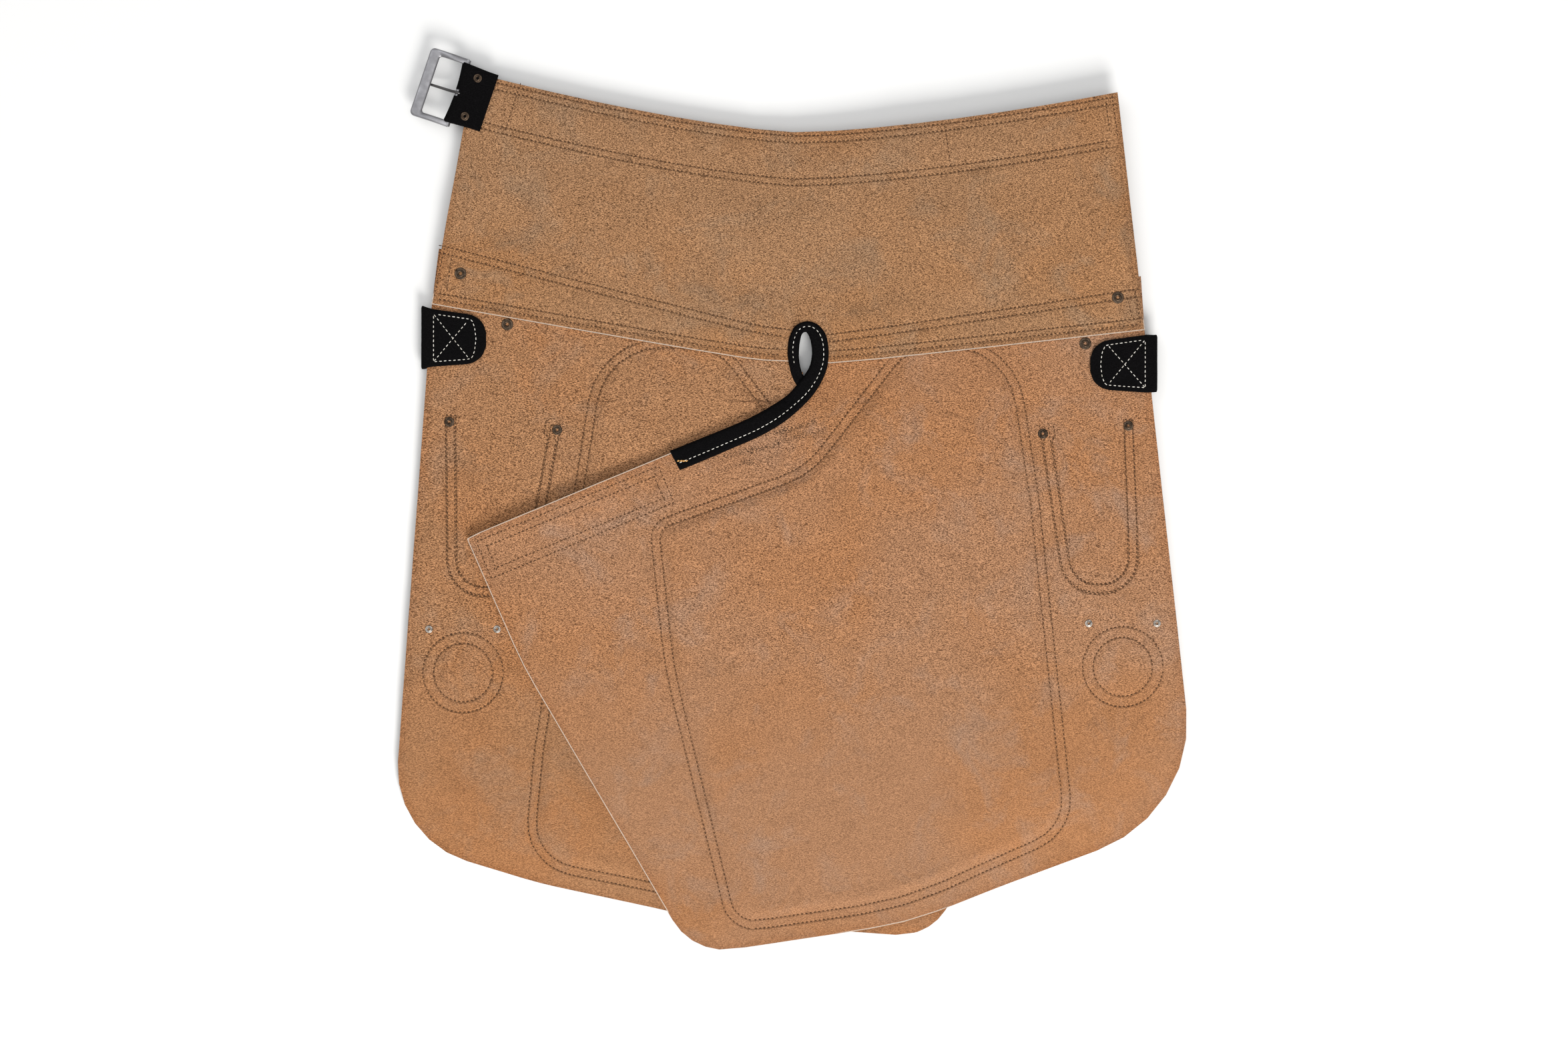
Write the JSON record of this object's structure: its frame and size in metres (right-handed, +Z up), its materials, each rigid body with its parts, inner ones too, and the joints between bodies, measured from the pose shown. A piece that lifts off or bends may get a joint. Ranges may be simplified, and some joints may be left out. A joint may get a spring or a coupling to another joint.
{
  "type": "split-leg leather work apron",
  "caption": "Split-leg leather work apron laid flat, with a belted yoke, two overlapping legs, knee patches, knife pockets, magnet pads and side loops.",
  "frame": {"origin": "centre of the laid-out apron's outline in plan, on the surface that it lies on", "axes": "+X towards the viewer's right across the apron, +Y towards the waist, +Z up, away from the surface, with the wearer's side of the leather facing up"},
  "size_m": [0.5906, 0.6738, 0.0168],
  "materials": {
    "suede": "napped flesh side of a tan split hide",
    "tan_leather": "smooth grain side of tan leather",
    "black_suede": "black suede strip, folded and stitched",
    "belt_leather": "black bridle leather with burnished edges",
    "buckle_steel": "satin nickelled steel, slightly worn",
    "rivet_metal": "antiqued tubular rivet",
    "magnet": "nickel-plated disc magnet"
  },
  "bodies": {
    "root": {"yoke": "suede", "waist_band": "tan_leather", "belt_anchor": "belt_leather", "chape": "black_suede", "slit_binding_loop": "black_suede", "left_leg_top": "suede", "right_leg_top": "suede", "left_knee_patch_top": "tan_leather", "right_knee_patch_top": "tan_leather", "left_side_loop": "black_suede", "right_side_loop": "black_suede", "rivet_chape_upper": "rivet_metal", "rivet_chape_lower": "rivet_metal", "rivet_left_yoke": "rivet_metal", "rivet_left_loop": "rivet_metal", "rivet_right_yoke": "rivet_metal", "rivet_right_loop": "rivet_metal"},
    "left_leg": {"left_leg_panel": "suede", "left_knee_patch": "tan_leather", "left_slit_binding": "black_suede", "left_strap_tab": "tan_leather", "left_knife_pocket": "tan_leather", "left_magnet_pad": "tan_leather", "left_magnet": "magnet", "rivet_left_pocket_outer": "rivet_metal", "rivet_left_pocket_inner": "rivet_metal", "rivet_left_pad_outer": "rivet_metal", "rivet_left_pad_inner": "rivet_metal"},
    "right_leg": {"right_leg_panel": "suede", "right_knee_patch": "tan_leather", "right_slit_binding": "black_suede", "right_strap_tab": "tan_leather", "right_knife_pocket": "tan_leather", "right_magnet_pad": "tan_leather", "right_magnet": "magnet", "rivet_right_pocket_outer": "rivet_metal", "rivet_right_pocket_inner": "rivet_metal", "rivet_right_pad_outer": "rivet_metal", "rivet_right_pad_inner": "rivet_metal"},
    "buckle": {"buckle_frame": "buckle_steel"},
    "prong": {"buckle_prong": "buckle_steel"},
    "belt": {"belt_strap": "belt_leather"}
  },
  "joints": [
    {"name": "left_leg_lift", "type": "hinge", "parent": "root", "child": "left_leg", "pos_m": [0, 0.072, 0.015], "axis": [-1, 0, 0], "range_deg": [0, 60]},
    {"name": "right_leg_lift", "type": "hinge", "parent": "left_leg", "child": "right_leg", "pos_m": [0, 0.072, 0.015], "axis": [-1, 0, 0], "range_deg": [0, 110]},
    {"name": "buckle_tilt", "type": "hinge", "parent": "root", "child": "buckle", "pos_m": [-0.2494, 0.303, 0.0097], "axis": [0.319, 0.9478, 0], "range_deg": [-12, 120]},
    {"name": "prong_tilt", "type": "hinge", "parent": "buckle", "child": "prong", "pos_m": [-0.2494, 0.303, 0.0097], "axis": [-0.319, -0.9478, 0], "range_deg": [0, 60]},
    {"name": "belt_unfold", "type": "hinge", "parent": "root", "child": "belt", "pos_m": [0.2375, 0.27868, 0.0069], "axis": [0.1589, -0.9873, 0], "range_deg": [0, 180]}
  ]
}
